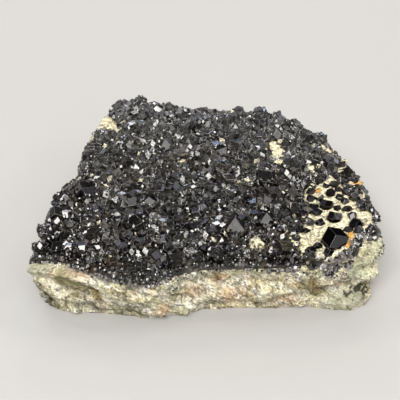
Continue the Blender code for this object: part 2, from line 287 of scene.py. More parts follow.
# %% Bare places
# Each: x, y, radius.
CREAM_SPOTS = [
    (33.6, 18.6, 2.0), (35.6, 14.2, 2.5), (17.0, -6.8, 1.2), (20.4, -5.0, 1.5), (23.5, -43.0, 2.1),
    (22.5, -46.5, 1.6), (4, -43, 2.2),
    (36.5, -36.4, 1.5), (29, -46.5, 1.6), (41, -42, 3.2), (44.5, -33, 1.6), (46, -29, 2.2),
    (62, 2, 2.4), (57, -4, 3.2), (66, -7, 3.2), (63, 11, 2.4), (58.6, 16.7, 2.6),
    (-49.5, 29, 2.6), (-52, 22, 2.4), (-51, -1.5, 2.6), (0.8, -59.7, 2.2), (50, 2, 2.2), (47, -9, 2.2),
    (39, -25, 1.6), (12, 27, 1.2), (-20, -8, 1.2), (-8, 8, 1.2), (-35, -22, 1.2), (53, -19, 1.6), (70, -14, 2.2),
]
# Places at the edge where the crust has come off and no crystal is left.
OPEN_SPOTS = [(-43.5, 37, 5.6), (-38.5, 32.5, 3.2), (-45, 42, 3.6)]
# Parts of the large bare knob that have hardly any crystals.
CLEAN_ROCK = [
    (53.0, -12.2, 3.2), (56.5, -15.5, 1.8), (48.4, -29.2, 2.8), (54.5, -33.2, 3.2), (59, -34.4, 1.8),
    (47.5, -34.5, 2.4), (50.2, -38.2, 2.8),
    (45.5, -41.8, 2.8), (41.3, -41.8, 2.8), (69.4, -31, 3.6), (70.5, -38, 3.2), (56.5, -50, 3.0),
    (60.5, -47, 2.2), (69.5, -48, 4.5), (62.5, -53, 3.0), (73.5, -43, 3.0),
]


def near_any(x, y, spots, grow=0.0):
    return any(math.hypot(x - a, y - b) < radius + grow for a, b, radius in spots)


print("bare places:", len(CREAM_SPOTS) + len(OPEN_SPOTS) + len(CLEAN_ROCK))

# %% [markdown]
# ## The rock
# The slab's solid has the right outline and breaks, but a broken rock is rough down to its grains. A copy of
# the solid is rebuilt on an even grid of small faces with a voxel remesh. Then every point moves along its
# normal by a height made of layers. Broad waves and thin beds come first. Then come chips: the space is shared
# out between random points, and each cell has a flat face of its own, tilted at random, which is how
# a coarse rock breaks from grain to grain. The chips are drawn out along beds that slope down to the right, and
# a few places broke smooth. Pits and fine grain come next, and then the marks of the front wall, of which
# the deep ones get painted shade inside. The height and the marks' depth are kept on the points for the finish,
# which paints shade from them. The flat underside stays flat, so the stone rests as before.

# %% Rock shape
ROCK_VOXEL = 0.72 * MM
# The points stay this far, in metres, inside the frame's box.
BOX_MARGIN = 1e-5
# Marks are made only where the normal points up less than this.
HOLLOW_UP_TO = 0.8
# How far a point may move in and out, in millimetres, and the share of it that the foot moves sideways.
DEEPEST, HIGHEST, FOOT_MOVE = -3.4, 1.3, 0.6
# The foot stays up to the first height and is free above the first and second together.
FOOT_UP_TO, FOOT_BLEND = 0.3, 1.5
# Level surfaces move by this share less than steep ones.
LEVEL_CALM = 0.75
SMOOTH_CALM = 0.75
BARE_FROM, BARE_FRONT = 35.0, -50.0
CHIP_SIZES = (5.5, 1.9)
CHIP_HEIGHTS = (0.5, 0.34)
# The beds slope down to the right, and the chips are drawn out along them.
GRAIN_WAY, GRAIN_SQUEEZE = Vector((0.8, 0.0, -0.6)), 0.5
# Places of the wall that broke smooth: centre and three radii.
SMOOTH_PLACES = [
    ((-56, -59, 19), (7, 6, 6)), ((-50, -60, 18.5), (7, 6, 5)), ((-45, -60, 17), (4, 5, 3)),
    ((61, -54, 4), (9, 8, 5)), ((67, -50, 20), (8, 8, 5)), ((-68, -52, 20), (7, 6, 6)),
]
# Marks of the front wall: centre, three radii and how far it goes in, all in millimetres.
HOLLOWS = [
    ((-56, -60, 19), (5.5, 5, 5), 0.7),
    ((-50.5, -61, 18.5), (5, 5, 4.4), 0.7),
    ((-45.5, -61, 17), (4, 5, 3), 0.7),
    ((-41.5, -60, 12), (1.6, 8, 7), 1.2),
    ((62.5, -52, 6.8), (3.6, 7, 0.8), 2.6),
    ((67, -50.5, 8.4), (4.4, 7, 1.1), 3.2),
    ((71, -49, 9.8), (3.4, 7, 1.1), 3.0),
    ((70, -49, 6.6), (3.4, 7, 1.1), 3.0),
    ((70, -49.5, 4.2), (3.4, 7, 1.1), 3.0),
    ((47, -57, 13), (2.0, 6, 9), 1.1),
    ((-24, -62, 8), (8, 6, 2.2), 1.3),
    ((26, -55.5, 3.6), (4.0, 6, 1.8), 3.0),
    ((-15, -63, 0.5), (9, 6, 4.5), 1.8),
]
# Marks deeper than the first of these get painted shade, and those past the second the darkest painted shade.
DARK_FROM, DARK_FULL = 1.5, 2.4
# Noise that frays the outlines of the marks, in millimetres.
FRAY_SIZE, FRAY = 1.7, 2.2


def copy_of(node_name):
    """The node's mesh in a bmesh of its own, its loose triangles joined."""
    bm = bmesh.new()
    bm.from_mesh(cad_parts[node_name].data)
    bmesh.ops.remove_doubles(bm, verts=bm.verts, dist=0.5e-6)
    return bm


def set_attributes(mesh, **values_of):
    """Numbers on the mesh's points, for the finishes to read."""
    for label, values in values_of.items():
        mesh.attributes.new(label, "FLOAT", "POINT").data.foreach_set("value", values)


def new_object(name, bm):
    mesh = bpy.data.meshes.new(name)
    bm.to_mesh(mesh)
    bm.free()
    made = bpy.data.objects.new(name, mesh)
    bpy.context.scene.collection.objects.link(made)
    return made


def applied(obj):
    """Turns the object's modifiers into plain mesh."""
    depsgraph = bpy.context.evaluated_depsgraph_get()
    mesh = bpy.data.meshes.new_from_object(obj.evaluated_get(depsgraph))
    obj.modifiers.clear()
    obj.data = mesh
    return obj


def away_from(p, centre, radii):
    """0 in the middle of an ellipsoid, 1 on its surface."""
    return math.sqrt(sum(((p[i] - centre[i]) / radii[i]) ** 2 for i in range(3)))


def hollow_depth(p):
    """How far the marks of the wall go in at p, in millimetres."""
    depth = 0.0
    p = p + Vector((noise.noise(p / FRAY_SIZE), 0.0, noise.noise(p / FRAY_SIZE + Vector((5, 2, 8))))) * FRAY
    for centre, radii, into in HOLLOWS:
        away = away_from(p, centre, radii)
        if away < 1:
            depth = max(depth, into * min(1.0, 3.0 * (1 - away)))
    return depth


class Chips:
    """Flat faces at random tilts, one for each cell of a random set of points."""

    def __init__(self, spacing, seed):
        low, high = CAD_BOX
        box = [(low[i] / MM - spacing, high[i] / MM + spacing) for i in range(3)]
        volume = math.prod(b - a for a, b in box)
        count = int(volume / spacing ** 3)
        chance = random.Random(seed)
        self.spacing = spacing
        self.points = [Vector([chance.uniform(a, b) for a, b in box]) for _ in range(count)]
        self.tilts = [Vector([chance.uniform(-1, 1) for _ in range(3)]) for _ in range(count)]
        self.levels = [chance.uniform(-1, 1) for _ in range(count)]
        self.tree = KDTree(count)
        for number, point in enumerate(self.points):
            self.tree.insert(point, number)
        self.tree.balance()

    def at(self, p):
        """Height, from about -1 to 1, and the random level of the cell."""
        point, number, _ = self.tree.find(p)
        tilt = self.tilts[number].dot(p - point) / self.spacing
        return 0.4 * self.levels[number] + 1.1 * tilt, self.levels[number]


def smoothness(p):
    """0 on rough rock and up to 1 in the middle of a smooth place."""
    most = 0.0
    for centre, radii in SMOOTH_PLACES:
        most = max(most, min(1.0, 2.0 * (1 - away_from(p, centre, radii))))
    return most


def rock_height(p, chips):
    """The rough surface's height above the plain solid at p, in millimetres, and its grain's tone."""
    tilted = Vector((0.55 * p.x + 0.5 * p.z, p.y, 1.1 * p.z + 0.5 * p.x))
    waves = noise.fractal(tilted / 11, 0.9, 2.1, 3) * 0.5
    beds = (noise.cell(Vector((tilted.x / 9, tilted.y / 9, tilted.z / 2.6))) - 0.4) * 0.3
    squeezed = p - GRAIN_WAY * (GRAIN_SQUEEZE * p.dot(GRAIN_WAY))
    pushed = squeezed + Vector((0.0, 0.0, noise.noise(p / 3) * 1.5))
    broad, _ = chips[0].at(pushed)
    small, tone = chips[1].at(squeezed)
    pits = -max(0.0, noise.noise(tilted / 1.9 + Vector((7, 3, 1))) - 0.16) * 1.3
    grain = noise.noise(p / 0.9) * 0.26
    rough = broad * CHIP_HEIGHTS[0] + small * CHIP_HEIGHTS[1] + pits + grain
    return waves + beds + rough * (1.0 - SMOOTH_CALM * smoothness(p)), tone


def bareness(p, normal):
    """How much the point belongs to the cream rock that stands bare at the right of the top."""
    inside = min(1.0, max(0.0, (p.x - BARE_FROM) / 4)) * min(1.0, max(0.0, (p.y - BARE_FRONT) / 3))
    return inside * min(1.0, max(0.0, (normal.z - 0.3) / 0.4))


def make_rock():
    rock = new_object("matrix_rock", copy_of("matrix"))
    remesh = rock.modifiers.new("even grid", "REMESH")
    remesh.mode = "VOXEL"
    remesh.voxel_size = ROCK_VOXEL
    applied(rock)
    mesh = rock.data
    low, high = CAD_BOX
    chips = [Chips(size, seed) for size, seed in zip(CHIP_SIZES, (41, 42))]
    normals = [v.normal.copy() for v in mesh.vertices]
    depths, tones, bares, hollows = np.zeros((4, len(mesh.vertices)), dtype=np.float32)
    for vert, normal in zip(mesh.vertices, normals):
        p = vert.co / MM
        off_floor = min(1.0, max(0.0, (p.z - FOOT_UP_TO) / FOOT_BLEND))
        steep = 1.0 - LEVEL_CALM * max(0.0, normal.z)
        move, tones[vert.index] = rock_height(p, chips)
        depths[vert.index] = move
        bares[vert.index] = bareness(p, normal)
        if normal.z < HOLLOW_UP_TO:
            hollows[vert.index] = hollow_depth(p)
            move -= hollows[vert.index]
        move = max(DEEPEST, min(HIGHEST, move)) * steep
        sideways = max(off_floor, FOOT_MOVE)
        vert.co += Vector((normal.x * sideways, normal.y * sideways, normal.z * off_floor)) * move * MM
        for axis in (0, 1):
            vert.co[axis] = max(low[axis] + BOX_MARGIN, min(high[axis] - BOX_MARGIN, vert.co[axis]))
        vert.co.z = max(0.0, vert.co.z)
    set_attributes(mesh, relief=depths, grain=tones, bare=bares, hollow=hollows)
    mesh.shade_smooth()
    return rock


rock = make_rock()
print("rock faces:", len(rock.data.polygons))

# %% [markdown]
# ## The rock's finish
# The rock is a pale buff skarn, sugary with grains of cream, olive and grey. Its front wall has stains in known
# places: olive and grey-green beds, a pale green right end and rust where iron has bled out. Low on the left the
# foot of the wall has painted shade, and the middle of the wall is painted lighter, as a pool of light. Each is a
# patch with a frayed edge over the common ground of grains. Low places of the relief are painted darker and high
# ones lighter, as shade and light. The grains' own shades are calmer where the rock broke smooth, and deep marks are
# painted almost black, as shade.

# %% Rock finish
BUFF, CREAM, OLIVE = colour(226, 215, 174), colour(251, 245, 220), colour(134, 128, 86)
GREY_GREEN, RUST, DARK = colour(170, 173, 146), colour(208, 156, 104), colour(66, 61, 47)
YELLOW, BRIGHT_CREAM = colour(230, 166, 56), colour(242, 231, 196)
YELLOW_GREEN, PINK_BUFF, BROWN = colour(204, 200, 132), colour(226, 190, 156), colour(150, 118, 68)
STREAK, STREAK_TILT = colour(118, 104, 70), 0.65
WHITE_GRAINS, GREY_DRUSE = colour(248, 244, 228), colour(98, 95, 92)
# The brightest that a grain gets, the shade that calm places are drawn to, and the painted shade that darkens a deep
# mark.
BRIGHTEST, CALM_SHADE, PAINTED_MARK_SHADE = 1.24, 0.88, 0.12
OLIVE_PATCHES = [
    ((-56, -59, 18.6), (4.4, 8, 5.4)), ((-51, -60, 17.4), (4.8, 8, 5.5)), ((-46.5, -60, 16.4), (4, 8, 4.2)),
    ((-43.5, -60, 14.5), (2.2, 8, 3)), ((44, -58, 17.5), (4.5, 8, 4)), ((49, -56, 11), (4.5, 8, 5)),
]
BROWN_PATCHES = [
    ((-42, -59, 13.5), (1.6, 8, 3)), ((-41, -60, 8.5), (1.6, 8, 4)), ((-40.5, -59, 3.5), (1.6, 8, 3)),
    ((8, -57, 18), (2.2, 8, 2.6)), ((46, -58, 18), (1.2, 8, 4)), ((48.5, -57, 13), (1.2, 8, 4)),
]
PALE_GREEN = colour(200, 205, 172)
PALE_GREEN_PATCHES = [((73, -42, 24), (6, 9, 9)), ((67, -50, 20), (7, 5, 7))]
LEDGE_PATCHES = [
    ((-48, -53.5, 24), (7, 3, 5)),
    ((-37, -57.5, 22), (7, 3, 6)), ((-26, -60.5, 21), (7, 3, 6)),
]
GREEN_FOOT = ((62, -54, 4.5), (9, 8, 4))
GREEN_PATCHES = [
    GREEN_FOOT, ((-67, -52, 21.5), (7, 8, 2.6)), ((-24, -62, 8), (8, 8, 3)), ((-10, -60.5, 20), (5, 6, 3)),
    ((20, -57, 20), (8, 6, 3)), ((63, -52, 20), (7, 6, 2.4)), ((-30, -62, 13), (6, 8, 3)),
    ((4, -57, 7), (4, 8, 3)), ((73, -47, 19), (3, 5, 2.5)),
]
RUST_PATCHES = [
    ((-49, -56.5, 23.8), (8, 4, 1.8)), ((-3, -58, 15), (3, 8, 4)), ((13, -56.5, 8), (7, 8, 5)),
    ((36, -56, 6.5), (6.5, 8, 3.6)), ((-16, -62, 6), (4, 8, 2.4)), ((8, -57, 18), (3, 8, 2.6)),
]
# Painted shade low at the foot of the wall, dark and speckled: centre and three radii.
FOOT_SHADE_PATCHES = [
    ((-62.5, -54.5, 3), (3.8, 8, 2.8)), ((-43, -59, 2.5), (2.6, 8, 1.8)), ((-27, -62, 4), (5, 8, 1.6)),
]
# Painted light: places of the front wall made lighter, as a pool of light: centre and three radii.
LIGHT_POOL_PATCHES = [((-4, -58, 12), (24, 9, 10)), ((24, -56, 16), (12, 8, 6))]
# A thin crack that rises to the right: a point on it, the direction across it, and its reach to each side.
CRACK_MIDDLE, CRACK_ACROSS, CRACK_REACH = (-12.0, -60.0, 23.4), (-0.287, 0.0, 0.958), 9.0
CRACK_WIDTH = 0.28 * MM
YELLOW_PATCHES = [
    ((62, -42.5, 30), (2.4, 2.6, 6)), ((60.5, -47.5, 30), (1.6, 1.6, 6)),
    ((51, -11.3, 28), (2.2, 1.8, 6)), ((68, -6.7, 26), (2.6, 2.2, 6)),
]


def rock_finish():
    f = Finish("pale rock")

    def stained(ground, tint, spots, share, edge=0.35):
        return f.blend(f.times(f.patches(frayed, spots, edge), share), ground, tint)

    frayed = f.shifted(0.004, 260)
    streaks = f.streaks(frayed, STREAK_TILT, 3.0)
    long_streaks = f.streaks(frayed, STREAK_TILT + 0.15, 6.0)
    broad = f.noise(60, 5, 0.6)
    fine = f.noise(1300, 5, 0.8, f.streaks(f.place, STREAK_TILT, 1.5))
    ground = f.blend(f.ramp(broad, 0.38, 0.6), BUFF, CREAM)
    for pattern, low, high, share, tint in (
        ((110, 6, 0.72, streaks), 0.52, 0.64, 0.8, GREY_GREEN),
        ((210, 6, 0.72, streaks), 0.54, 0.65, 0.75, OLIVE),
        ((90, 4, 0.65, f.shifted(0.02, 41)), 0.52, 0.62, 0.6, YELLOW_GREEN),
        ((75, 4, 0.65, f.shifted(0.03, 33)), 0.54, 0.64, 0.5, PINK_BUFF),
    ):
        ground = f.blend(f.ramp(f.noise(*pattern), low, high, 0, share), ground, tint)
    ground = stained(ground, GREY_GREEN, GREEN_PATCHES, 0.75)
    ground = stained(ground, RUST, RUST_PATCHES, 0.58, 0.6)
    ground = f.blend(f.ramp(f.noise(230, 5, 0.66, long_streaks), 0.53, 0.62, 0, 0.75), ground, STREAK)
    white = f.ramp(f.noise(340, 5, 0.75, streaks), 0.5, 0.6, 0, 0.9)
    calm = f.ramp(f.patches(frayed, [GREEN_FOOT] + SMOOTH_PLACES, 0.4), 0.0, 1.0, 1.0, 0.3)
    ground = f.blend(f.times(white, calm), ground, WHITE_GRAINS)
    ground = stained(ground, OLIVE, OLIVE_PATCHES, 0.85, 0.25)
    ground = stained(ground, BROWN, BROWN_PATCHES, 0.6, 0.5)
    ground = f.blend(f.attribute("bare"), ground, BRIGHT_CREAM)
    ground = stained(ground, PALE_GREEN, PALE_GREEN_PATCHES, 0.7, 0.5)
    ground = stained(ground, GREY_DRUSE, LEDGE_PATCHES, 0.85)
    ground = stained(ground, YELLOW, YELLOW_PATCHES, 0.85)
    relief = f.attribute("relief")
    tone = f.attribute("grain")
    # Painted shade and light: low places of the relief are darker, high ones lighter.
    shaded = f.ramp(relief, -1.7, 0.9, 0.76, 1.06)
    # Painted light: the middle of the front wall is lighter.
    shaded = f.times(shaded, f.ramp(f.patches(frayed, LIGHT_POOL_PATCHES, 0.5), 0.0, 1.0, 1.0, 1.22))
    grain = f.node("SeparateColor", {0: f.cells(1900, f.streaks(f.place, STREAK_TILT, 1.7))["Color"]}).outputs[0]
    crack = f.node("TexVoronoi", {"Vector": streaks, "Scale": 150.0}, feature="DISTANCE_TO_EDGE").outputs["Distance"]
    lines = f.ramp(f.noise(70, 3, 0.6), 0.42, 0.58, 1.0, 0.3)
    shaded = f.times(shaded, f.maths("MAXIMUM", f.ramp(crack, 0.0, 0.07, 0.3, 1.0), lines))
    shade = f.times(shaded, f.ramp(grain, 0, 1, 0.5, 1.46))
    shade = f.times(shade, f.ramp(tone, -1, 1, 0.9, 1.1))
    shade = f.maths("MINIMUM", f.times(shade, f.ramp(fine, 0.37, 0.63, 0.4, 1.52)), BRIGHTEST)
    from_calm = f.maths("SUBTRACT", shade, CALM_SHADE)
    shade = f.maths("ADD", f.times(from_calm, f.ramp(calm, 0.3, 1.0, 0.5, 1.0)), CALM_SHADE)
    # Painted shade: deep marks of the wall are darkened almost to black.
    depth = f.attribute("hollow")
    shade = f.times(shade, f.ramp(depth, DARK_FROM, DARK_FULL, 1.0, PAINTED_MARK_SHADE))
    lit = f.node("VectorMath", {0: ground, "Scale": shade}, operation="SCALE").outputs[0]
    speck = f.ramp(f.node("SeparateColor", {0: f.cells(800)["Color"]}).outputs[1], 0.88, 0.92)
    lit = f.blend(f.times(speck, 0.55), lit, DARK)
    middle = tuple(c * MM for c in CRACK_MIDDLE)
    near_crack = f.patches(f.place, [(CRACK_MIDDLE, (CRACK_REACH,) * 3)], 0.1)
    from_middle = f.node("VectorMath", {0: f.shifted(0.0012, 300), 1: middle}, operation="SUBTRACT").outputs[0]
    across = f.node("VectorMath", {0: from_middle, 1: CRACK_ACROSS}, operation="DOT_PRODUCT").outputs["Value"]
    split = f.ramp(f.node("Math", {0: across}, operation="ABSOLUTE").outputs[0], CRACK_WIDTH, 0.3 * CRACK_WIDTH)
    lit = f.blend(f.times(f.times(split, near_crack), 0.75), lit, DARK)
    # Painted shade, speckled, low at the foot of the wall.
    foot_shade = f.times(f.patches(frayed, FOOT_SHADE_PATCHES, 0.5), f.ramp(fine, 0.36, 0.5))
    lit = f.blend(f.times(foot_shade, 0.85), lit, DARK)
    f.link(lit, "Base Color")
    f.link(f.ramp(fine, 0.3, 0.7, 0.55, 0.9), "Roughness")
    f.bump(f.maths("ADD", fine, f.times(grain, 0.45)), 0.9, 0.5 * MM)
    return f.material


ROCK = rock_finish()
rock.data.materials.clear()
rock.data.materials.append(ROCK)
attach(rock, "root")
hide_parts("matrix")

# %% [markdown]
# ## The garnet's form
# Garnet grows as a rhombic dodecahedron: twelve equal diamonds. A cube with a low pyramid poked up on each
# face is exactly that, once the cube's own edges are dissolved. Real ones have their edges cut by narrow
# extra faces, and those thin strips catch the light, so the edges are bevelled.


# %% One garnet
def garnet_shape(bevel_width):
    """Points and faces of a garnet one unit across, and for each face whether it only cuts an edge."""
    bm = bmesh.new()
    side = 1 / math.sqrt(2)
    bmesh.ops.create_cube(bm, size=side)
    bmesh.ops.poke(bm, faces=bm.faces, offset=side / 2)
    bmesh.ops.dissolve_limit(bm, angle_limit=math.radians(1), verts=bm.verts, edges=bm.edges)
    if bevel_width:
        bmesh.ops.bevel(
            bm, geom=bm.edges[:], offset=bevel_width, offset_type="OFFSET", segments=1, profile=0.5,
            affect="EDGES", clamp_overlap=True, material=-1,
        )
    bm.verts.index_update()
    points = np.array([v.co[:] for v in bm.verts])
    faces = [[v.index for v in face.verts] for face in bm.faces]
    broad = 0.5 * max(face.calc_area() for face in bm.faces)
    cuts = [0.0 if face.calc_area() > broad else 1.0 for face in bm.faces]
    bm.free()
    return points, faces, cuts


CUT_GARNETS = [garnet_shape(width) for width in (0.01, 0.017, 0.026, 0.036)]
PLAIN_GARNET = [garnet_shape(0)]
print("faces of a cut garnet:", len(CUT_GARNETS[0][1]), "and of a plain one:", len(PLAIN_GARNET[0][1]))

# %% [markdown]
# ## Growing many
# A druse is hundreds of the same form, each turned its own way. Each crystal is the one shape, turned, sized
# and moved by a small matrix, and all of them are joined as one mesh. Two numbers ride along on the points:
# a random tone, and how deep the crystal sits, where dust gathers.


# %% Growing crystals
def any_turn(chance):
    """A random turn, as part.py's garnets have: about a random axis."""
    axis = Vector([chance.gauss(0, 1) for _ in range(3)]).normalized()
    return Matrix.Rotation(chance.uniform(0, 2 * math.pi), 3, axis)


def grow(name, crystals, shapes, chance):
    """One mesh of all the crystals, each a (centre in mm, size in mm, turn, stretch, dust)."""
    points, faces, tones, dusts, edges = [], [], [], [], []
    first = 0
    for centre, size, turn, stretch, dust in crystals:
        form_points, form_faces, form_cuts = shapes[chance.randrange(len(shapes))]
        matrix = np.array(turn) @ np.diag(stretch) * size
        points.append(form_points @ matrix.T + np.array(centre))
        faces += [[first + i for i in face] for face in form_faces]
        edges += form_cuts
        first += len(form_points)
        tones += [chance.random()] * len(form_points)
        dusts += [dust] * len(form_points)
    mesh = bpy.data.meshes.new(name)
    mesh.from_pydata((np.concatenate(points) * MM).tolist(), [], faces)
    set_attributes(mesh, tone=tones, dust=dusts)
    mesh.attributes.new("edge", "FLOAT", "FACE").data.foreach_set("value", edges)
    made = bpy.data.objects.new(name, mesh)
    bpy.context.scene.collection.objects.link(made)
    triangles = sum(len(face) - 2 for face in faces)
    print(f"{name}: {len(crystals)} crystals, {triangles} triangles")
    return made


# %% [markdown]
# ## The garnet's finish
# Black garnet is nearly opaque and has a glassy reflection: garnets have refractive indices of 1.74 and more. What
# differs from crystal to crystal is how clean and smooth the faces are, so the tone drives the roughness and a
# slight brown, and dust lies on the low ones. A faint unevenness bends the reflections within a face.
# The bevel strips carry a painted grey highlight in patches.

# %% Garnet finish
JET, BROWN_BLACK, DUST = colour(9, 9, 11), colour(29, 26, 22), colour(110, 108, 94)
# The first colour below is a painted grey highlight for the bevel strips; the second is brown dust.
EDGE_HIGHLIGHT_GREY, BROWN_DUST = colour(104, 101, 98), colour(92, 76, 58)
GARNET_INDEX = 1.74
FACE_RELIEF = 0.05 * MM
# Dust settles more and more towards the back: from and to, in metres, and how much.
DUSTY_BACK = (-0.03, 0.04, 0.0, 0.4)
BACK_DUST = colour(96, 96, 96)


def garnet_finish(name, dusty, dark=JET, light=BROWN_BLACK, turning=0.55, gloss=0.5):
    f = Finish(name)
    tone = f.attribute("tone")
    depth = f.attribute("dust")
    base = f.blend(f.ramp(tone, turning, 1.0), dark, light)
    film = f.ramp(f.noise(330, 5, 0.65), 0.46, 0.66)
    patchy = f.ramp(f.noise(38, 2, 0.5), 0.4, 0.62, 0.25, 1.0)
    film = f.times(f.times(film, patchy), f.times(depth, dusty))
    to_back = f.node("SeparateXYZ", {0: f.place}).outputs["Y"]
    settled = f.times(f.ramp(to_back, *DUSTY_BACK), f.ramp(f.noise(330, 5, 0.65), 0.36, 0.56))
    settled = f.times(settled, dusty)
    dust = f.blend(f.ramp(f.noise(28, 3, 0.5), 0.44, 0.58), DUST, BROWN_DUST)
    dust = f.blend(f.ramp(to_back, *DUSTY_BACK[:2]), dust, BACK_DUST)
    film = f.maths("ADD", film, settled)
    base = f.blend(film, base, dust)
    # Painted highlight: the bevel strips turn grey in patches, as edges that catch the light; the same patches are
    # rougher.
    edge = f.attribute("edge")
    edge_highlight = f.times(edge, f.ramp(f.noise(600, 3, 0.6), 0.38, 0.62, 0.0, 0.6))
    base = f.blend(edge_highlight, base, EDGE_HIGHLIGHT_GREY)
    f.link(base, "Base Color")
    smudge = f.ramp(f.noise(210, 4, 0.6), 0.35, 0.7, 0.0, 0.08)
    rough = f.maths("ADD", smudge, f.ramp(tone, 0.0, 1.0, 0.03, 0.13))
    rough = f.maths("ADD", rough, f.times(edge_highlight, 0.25))
    f.link(f.maths("ADD", rough, f.times(film, 0.35)), "Roughness")
    f.shader.inputs["IOR"].default_value = GARNET_INDEX
    f.shader.inputs["Specular IOR Level"].default_value = gloss
    steps = f.noise(650, 3, 0.55)
    f.bump(f.maths("ADD", steps, f.times(f.noise(2400, 2, 0.5), 0.25)), 1.0, FACE_RELIEF)
    return f.material


GARNET = garnet_finish("black garnet", 0.75, gloss=0.56)
LARGE_GARNET = garnet_finish("large black garnet", 0.3, gloss=0.13)
ROCK_GARNET = garnet_finish("garnet in rock", 0.3, turning=0.8, gloss=0.28)

# %% [markdown]
# ## The ground of the crust
# Between and under the crystals that can be told apart lies a ground of garnet too fine to count. The frame's
# own crust is that ground. Its facets are garnet faces too, so it takes the garnet's finish with more dust, and
# the dust lies in its low places.


# %% Crust ground
# How far below its surroundings the ground is dustiest, and how far round it they reach, in millimetres.
GROUND_DEEP, GROUND_REACH = 1.6, 5.0


def make_ground():
    """The crust's own solid, with the tone and dust that the garnet's finish reads."""
    made = new_object("garnet_ground", copy_of("garnet_crust"))
    mesh = made.data
    heights = np.array([v.co.z / MM for v in mesh.vertices])
    tree = KDTree(len(heights))
    for vert in mesh.vertices:
        tree.insert(Vector((vert.co.x / MM, vert.co.y / MM, 0)), vert.index)
    tree.balance()
    chance = random.Random(51)
    dusts, tones = [], []
    for vert in mesh.vertices:
        around = tree.find_range(Vector((vert.co.x / MM, vert.co.y / MM, 0)), GROUND_REACH)
        highest = max(heights[number] for _, number, _ in around)
        dusts.append(min(1.0, max(0.1, (highest - heights[vert.index]) / GROUND_DEEP)))
        tones.append(chance.uniform(0.2, 0.9))
    set_attributes(mesh, tone=tones, dust=dusts)
    return made


ground = make_ground()
ground.data.materials.append(garnet_finish("garnet ground", 0.9, gloss=0.38))
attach(ground, "root")
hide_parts("garnet_crust")
print("ground faces:", len(ground.data.polygons))

# %% [markdown]
# ## Finding the surface
# Each crystal has to sit on what carries it. A ray dropped from above finds the crust or the rock at any place,
# and rays from the sides find the wall, both by a tree of the finished meshes' faces.


# %% Surface search
def tree_of(obj):
    mesh = obj.data
    return BVHTree.FromPolygons([v.co / MM for v in mesh.vertices], [p.vertices[:] for p in mesh.polygons])


CRUST_TREE, ROCK_TREE = tree_of(ground), tree_of(rock)
DOWN = Vector((0, 0, -1))


def surface_at(x, y):
    """Height and normal of the top surface at x, y, and whether it is crust; or None beyond the slab."""
    start = Vector((x, y, 60))
    on_crust = CRUST_TREE.ray_cast(start, DOWN)
    on_rock = ROCK_TREE.ray_cast(start, DOWN)
    if on_rock[0] is None and on_crust[0] is None:
        return None
    if on_crust[0] is not None and (on_rock[0] is None or on_crust[0].z > on_rock[0].z):
        return on_crust[0].z, on_crust[1], True
    return on_rock[0].z, on_rock[1], False


class Places:
    """Chosen places, with a quick test of how near a new one is to those already taken."""

    def __init__(self):
        self.taken = np.zeros((0, 3))

    def is_free(self, x, y, size, share):
        if not len(self.taken):
            return True
        gap = np.hypot(self.taken[:, 0] - x, self.taken[:, 1] - y)
        return bool(np.all(gap > share * (self.taken[:, 2] + size)))

    def take(self, x, y, size):
        self.taken = np.vstack([self.taken, (x, y, size)])


# %% [markdown]
# ## Cream spots
# Where the crust has a gap, a low mound of the pale rock comes up through it. Each is a ball flattened to a lens,
# frayed at its edge with noise and set into the crust, tilted as the crust is there.

# %% Bare mounds
MOUND_HEIGHT = 0.8
MOUND_RISE = -0.1


def mean_surface(x, y, radius):
    """Mean height of the surface on a ring round a place."""
    heights = []
    for k in range(8):
        angle = k * math.pi / 4
        found = surface_at(x + radius * math.cos(angle), y + radius * math.sin(angle))
        if found:
            heights.append(found[0])
    return sum(heights) / len(heights) if heights else None


def surface_mean_at(x, y, default):
    """The same on a small ring, or the default where there is a break or the slab ends."""
    height = mean_surface(x, y, 1.5)
    if height is None or abs(height - default) > 2.5:
        return default
    return height


def mounds():
    bm = bmesh.new()
    relief = []
    for x, y, radius in CREAM_SPOTS + OPEN_SPOTS:
        found = surface_at(x, y)
        if found is None:
            continue
        made = bmesh.ops.create_icosphere(bm, subdivisions=4 if radius > 3.3 else 3, radius=1.0)["verts"]
        level = mean_surface(x, y, 0.6 * radius)
        slope_x = (surface_mean_at(x + radius, y, level) - surface_mean_at(x - radius, y, level)) / (2 * radius)
        slope_y = (surface_mean_at(x, y + radius, level) - surface_mean_at(x, y - radius, level)) / (2 * radius)
        for vert in made:
            way = vert.co.copy()
            place = Vector((x + way.x * radius, y + way.y * radius, 0))
            fray = 1.25 + 0.9 * noise.noise(place / 1.9) + 0.5 * noise.noise(place / 0.9 + Vector((4, 1, 0)))
            dx, dy = way.x * radius * fray, way.y * radius * fray
            for _ in range(8):
                if surface_at(x + dx, y + dy) is None:
                    dx, dy = dx * 0.85, dy * 0.85
            rough = 0.5 * noise.noise(place / 1.3) + 0.35 * noise.noise(place / 0.6 + Vector((2, 5, 0)))
            z = level + MOUND_RISE + slope_x * dx + slope_y * dy + MOUND_HEIGHT * way.z + rough * max(0.0, way.z)
            vert.co = Vector((x + dx, y + dy, z)) * MM
            relief.append(rough)
    made = new_object("bare_rock_spots", bm)
    set_attributes(made.data, relief=relief, bare=[1.0] * len(relief))
    made.data.shade_smooth()
    made.data.materials.append(ROCK)
    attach(made, "root")
    return made


bare_spots = mounds()
print("mound faces:", len(bare_spots.data.polygons))

# %% [markdown]
# ## The large garnets
# A few crystals are several times the size of the rest, and their broad black faces break up the druse. They
# stand exactly where the frame's crust has its large garnets, turned the same way, so each one wraps the plain
# solid in a cut form of its own. The same goes for the ones that sit alone in the bare rock.

